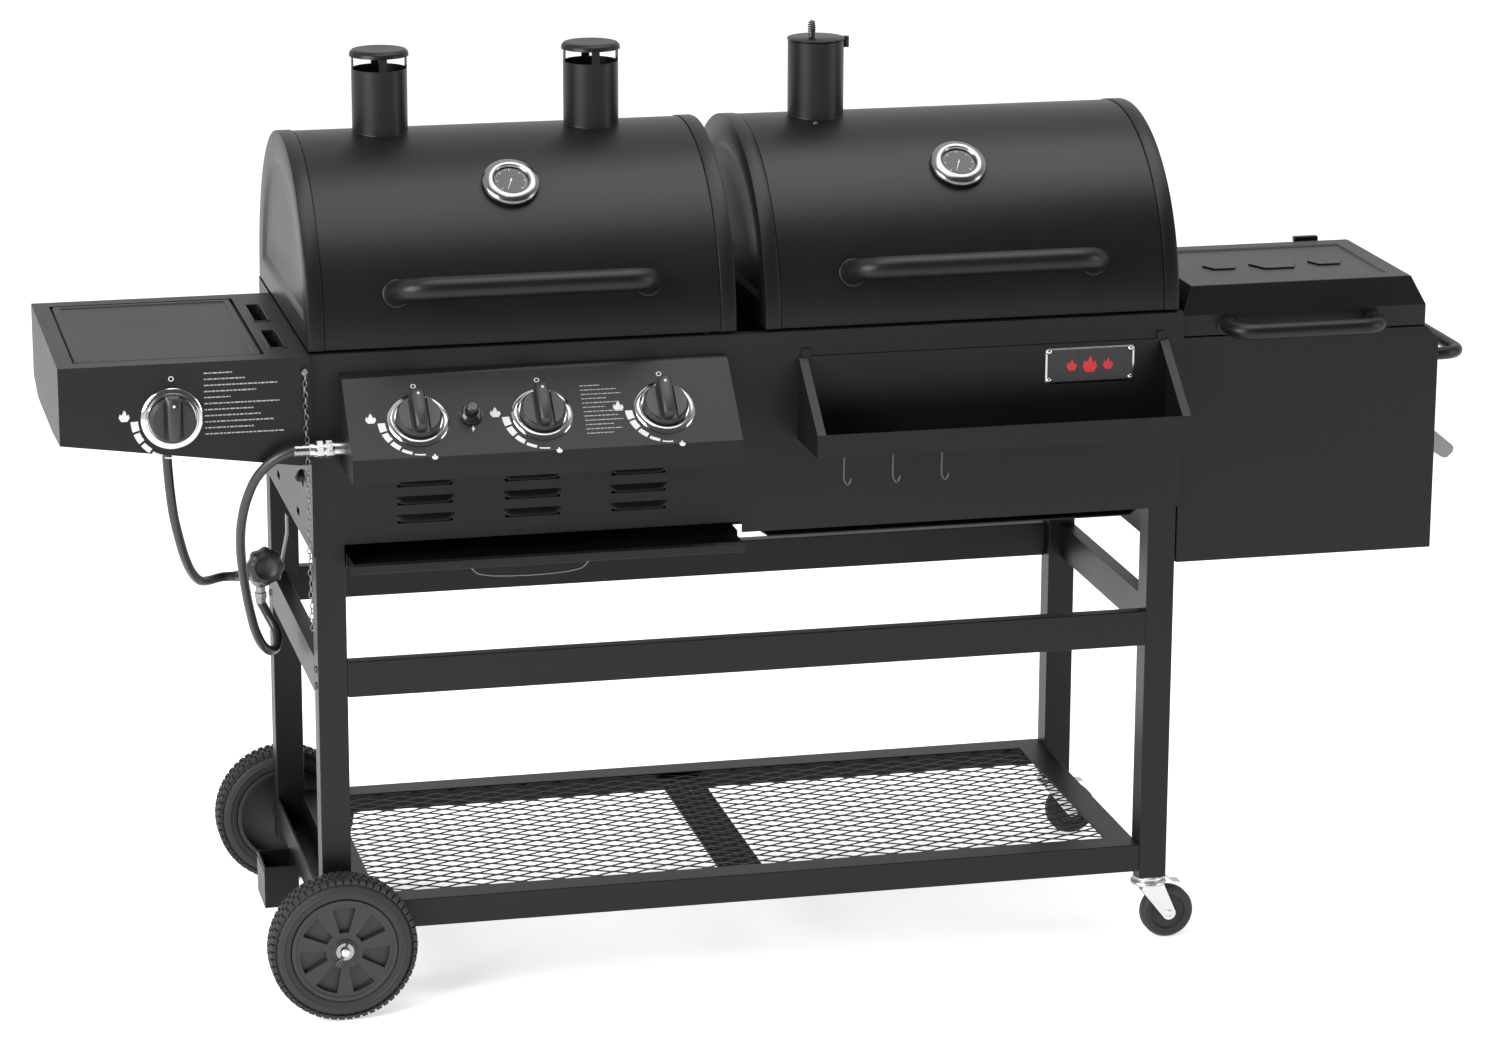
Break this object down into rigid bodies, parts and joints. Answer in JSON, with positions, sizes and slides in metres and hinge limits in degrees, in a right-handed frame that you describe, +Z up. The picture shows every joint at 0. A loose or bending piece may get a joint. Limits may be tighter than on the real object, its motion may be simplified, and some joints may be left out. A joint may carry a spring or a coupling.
{
  "type": "offset smoker",
  "caption": "Rolling cart grill with a gas barrel, a charcoal barrel with smoke stack, a side burner shelf and an offset firebox.",
  "frame": {"origin": "middle of the footprint on the ground", "axes": "+X along the cart from the side burner to the firebox, +Y from the front with the knobs to the back, +Z up"},
  "size_m": [1.9822, 0.687, 1.3003],
  "materials": {
    "black_steel": "satin fine-textured black powder coat",
    "chamber_steel": "satin heat-resistant black paint",
    "cast_iron": "dark oiled cast iron",
    "bright_steel": "bright drawn steel",
    "zinc_steel": "zinc-plated steel",
    "chrome_steel": "polished chrome",
    "wheel_rubber": "matte black wheel tread",
    "wheel_plastic": "matte black moulded plastic",
    "knob_plastic": "satin black moulded plastic",
    "hose_rubber": "smooth black hose rubber",
    "regulator_alloy": "die-cast grey alloy"
  },
  "bodies": {
    "cart": {"front_left_leg": "black_steel", "rear_left_leg": "black_steel", "front_right_leg": "black_steel", "rear_right_leg": "black_steel", "front_lower_rail": "black_steel", "rear_upper_rail": "black_steel", "left_side_rail": "black_steel", "right_side_rail": "black_steel", "shelf_frame": "black_steel", "shelf_mesh": "black_steel", "tank_bracket": "black_steel", "wheel_axle": "bright_steel", "cabinet_front": "black_steel", "cabinet_back": "black_steel", "cabinet_left_side": "black_steel", "cabinet_right_side": "black_steel", "cabinet_floor": "black_steel", "gas_grate": "cast_iron", "charcoal_grate": "cast_iron", "burner_manifold": "bright_steel", "control_panel": "black_steel", "front_tray": "black_steel", "side_shelf": "black_steel", "side_burner": "cast_iron", "firebox_body": "chamber_steel", "firebox_side_handle": "black_steel", "gas_hose": "hose_rubber", "side_burner_hose": "hose_rubber", "regulator": "regulator_alloy"},
    "front_wheel": {"front_tyre": "wheel_rubber", "front_rim": "wheel_plastic"},
    "rear_wheel": {"rear_tyre": "wheel_rubber", "rear_rim": "wheel_plastic"},
    "front_caster_swivel": {"front_caster_fork": "zinc_steel"},
    "front_caster_roller": {"front_caster_wheel": "wheel_rubber"},
    "rear_caster_swivel": {"rear_caster_fork": "zinc_steel"},
    "rear_caster_roller": {"rear_caster_wheel": "wheel_rubber"},
    "left_burner_knob": {"left_knob": "knob_plastic"},
    "centre_burner_knob": {"centre_knob": "knob_plastic"},
    "right_burner_knob": {"right_knob": "knob_plastic"},
    "side_burner_knob": {"side_knob": "knob_plastic"},
    "igniter": {"igniter_button": "knob_plastic"},
    "gas_barrel_lid": {"gas_lid": "chamber_steel", "gas_lid_handle": "black_steel", "gas_thermometer": "chrome_steel", "left_chimney": "chamber_steel", "right_chimney": "chamber_steel"},
    "charcoal_barrel_lid": {"charcoal_lid": "chamber_steel", "charcoal_lid_handle": "black_steel", "charcoal_thermometer": "chrome_steel", "smoke_stack": "chamber_steel"},
    "stack_damper_disc": {"stack_damper": "chamber_steel"},
    "firebox_cover": {"firebox_lid": "chamber_steel", "firebox_lid_handle": "black_steel"},
    "firebox_air_slide": {"firebox_damper": "zinc_steel"},
    "drip_tray": {"grease_tray": "black_steel"},
    "side_burner_cover": {"side_burner_lid": "black_steel"},
    "left_hook": {"hook_1": "bright_steel"},
    "middle_hook": {"hook_2": "bright_steel"},
    "right_hook": {"hook_3": "bright_steel"}
  },
  "joints": [
    {"name": "front_wheel_spin", "type": "hinge", "parent": "cart", "child": "front_wheel", "pos_m": [-0.63678, -0.27, 0.1015], "axis": [0, 1, 0], "continuous": true},
    {"name": "rear_wheel_spin", "type": "hinge", "parent": "cart", "child": "rear_wheel", "pos_m": [-0.63678, 0.312, 0.1015], "axis": [0, 1, 0], "continuous": true},
    {"name": "front_caster_turn", "type": "hinge", "parent": "cart", "child": "front_caster_swivel", "pos_m": [0.52922, -0.2125, 0.09], "axis": [0, 0, 1], "continuous": true},
    {"name": "front_caster_roll", "type": "hinge", "parent": "front_caster_swivel", "child": "front_caster_roller", "pos_m": [0.55722, -0.2125, 0.038], "axis": [0, 1, 0], "continuous": true},
    {"name": "rear_caster_turn", "type": "hinge", "parent": "cart", "child": "rear_caster_swivel", "pos_m": [0.52922, 0.2545, 0.09], "axis": [0, 0, 1], "continuous": true},
    {"name": "rear_caster_roll", "type": "hinge", "parent": "rear_caster_swivel", "child": "rear_caster_roller", "pos_m": [0.55722, 0.2545, 0.038], "axis": [0, 1, 0], "continuous": true},
    {"name": "left_knob_turn", "type": "hinge", "parent": "cart", "child": "left_burner_knob", "pos_m": [-0.52678, -0.30208, 0.83861], "axis": [0, -0.6912, 0.7226], "range_deg": [0, 180]},
    {"name": "centre_knob_turn", "type": "hinge", "parent": "cart", "child": "centre_burner_knob", "pos_m": [-0.36078, -0.30208, 0.83861], "axis": [0, -0.6912, 0.7226], "range_deg": [0, 180]},
    {"name": "right_knob_turn", "type": "hinge", "parent": "cart", "child": "right_burner_knob", "pos_m": [-0.19478, -0.30208, 0.83861], "axis": [0, -0.6912, 0.7226], "range_deg": [0, 180]},
    {"name": "side_knob_turn", "type": "hinge", "parent": "cart", "child": "side_burner_knob", "pos_m": [-0.84378, -0.2435, 0.844], "axis": [0, -1, 0], "range_deg": [0, 180]},
    {"name": "igniter_press", "type": "slide", "parent": "cart", "child": "igniter", "axis": [0, 0.6912, -0.7226], "range_m": [0, 0.004], "stiffness_N_per_m": 400},
    {"name": "gas_lid_hinge", "type": "hinge", "parent": "cart", "child": "gas_barrel_lid", "pos_m": [-0.36928, 0.274, 0.921], "axis": [-1, 0, 0], "range_deg": [0, 95]},
    {"name": "charcoal_lid_hinge", "type": "hinge", "parent": "cart", "child": "charcoal_barrel_lid", "pos_m": [0.25422, 0.274, 0.921], "axis": [-1, 0, 0], "range_deg": [0, 95]},
    {"name": "stack_damper_turn", "type": "hinge", "parent": "charcoal_barrel_lid", "child": "stack_damper_disc", "pos_m": [0.13322, 0.021, 1.272], "axis": [0, 0, 1], "range_deg": [0, 110]},
    {"name": "firebox_lid_hinge", "type": "hinge", "parent": "cart", "child": "firebox_cover", "pos_m": [0.73122, 0.0665, 0.882], "axis": [-1, 0, 0], "range_deg": [0, 100]},
    {"name": "firebox_air_slide_move", "type": "slide", "parent": "cart", "child": "firebox_air_slide", "axis": [0, 1, 0], "range_m": [0, 0.028]},
    {"name": "drip_tray_pull", "type": "slide", "parent": "cart", "child": "drip_tray", "axis": [0, -1, 0], "range_m": [0, 0.45]},
    {"name": "side_burner_lid_hinge", "type": "hinge", "parent": "cart", "child": "side_burner_cover", "pos_m": [-0.84278, 0.135, 0.921], "axis": [-1, 0, 0], "range_deg": [0, 100]},
    {"name": "left_hook_swing", "type": "hinge", "parent": "cart", "child": "left_hook", "pos_m": [0.04522, -0.3315, 0.768], "axis": [1, 0, 0], "range_deg": [-20, 20]},
    {"name": "middle_hook_swing", "type": "hinge", "parent": "cart", "child": "middle_hook", "pos_m": [0.11322, -0.3315, 0.768], "axis": [1, 0, 0], "range_deg": [-20, 20]},
    {"name": "right_hook_swing", "type": "hinge", "parent": "cart", "child": "right_hook", "pos_m": [0.18122, -0.3315, 0.768], "axis": [1, 0, 0], "range_deg": [-20, 20]}
  ]
}
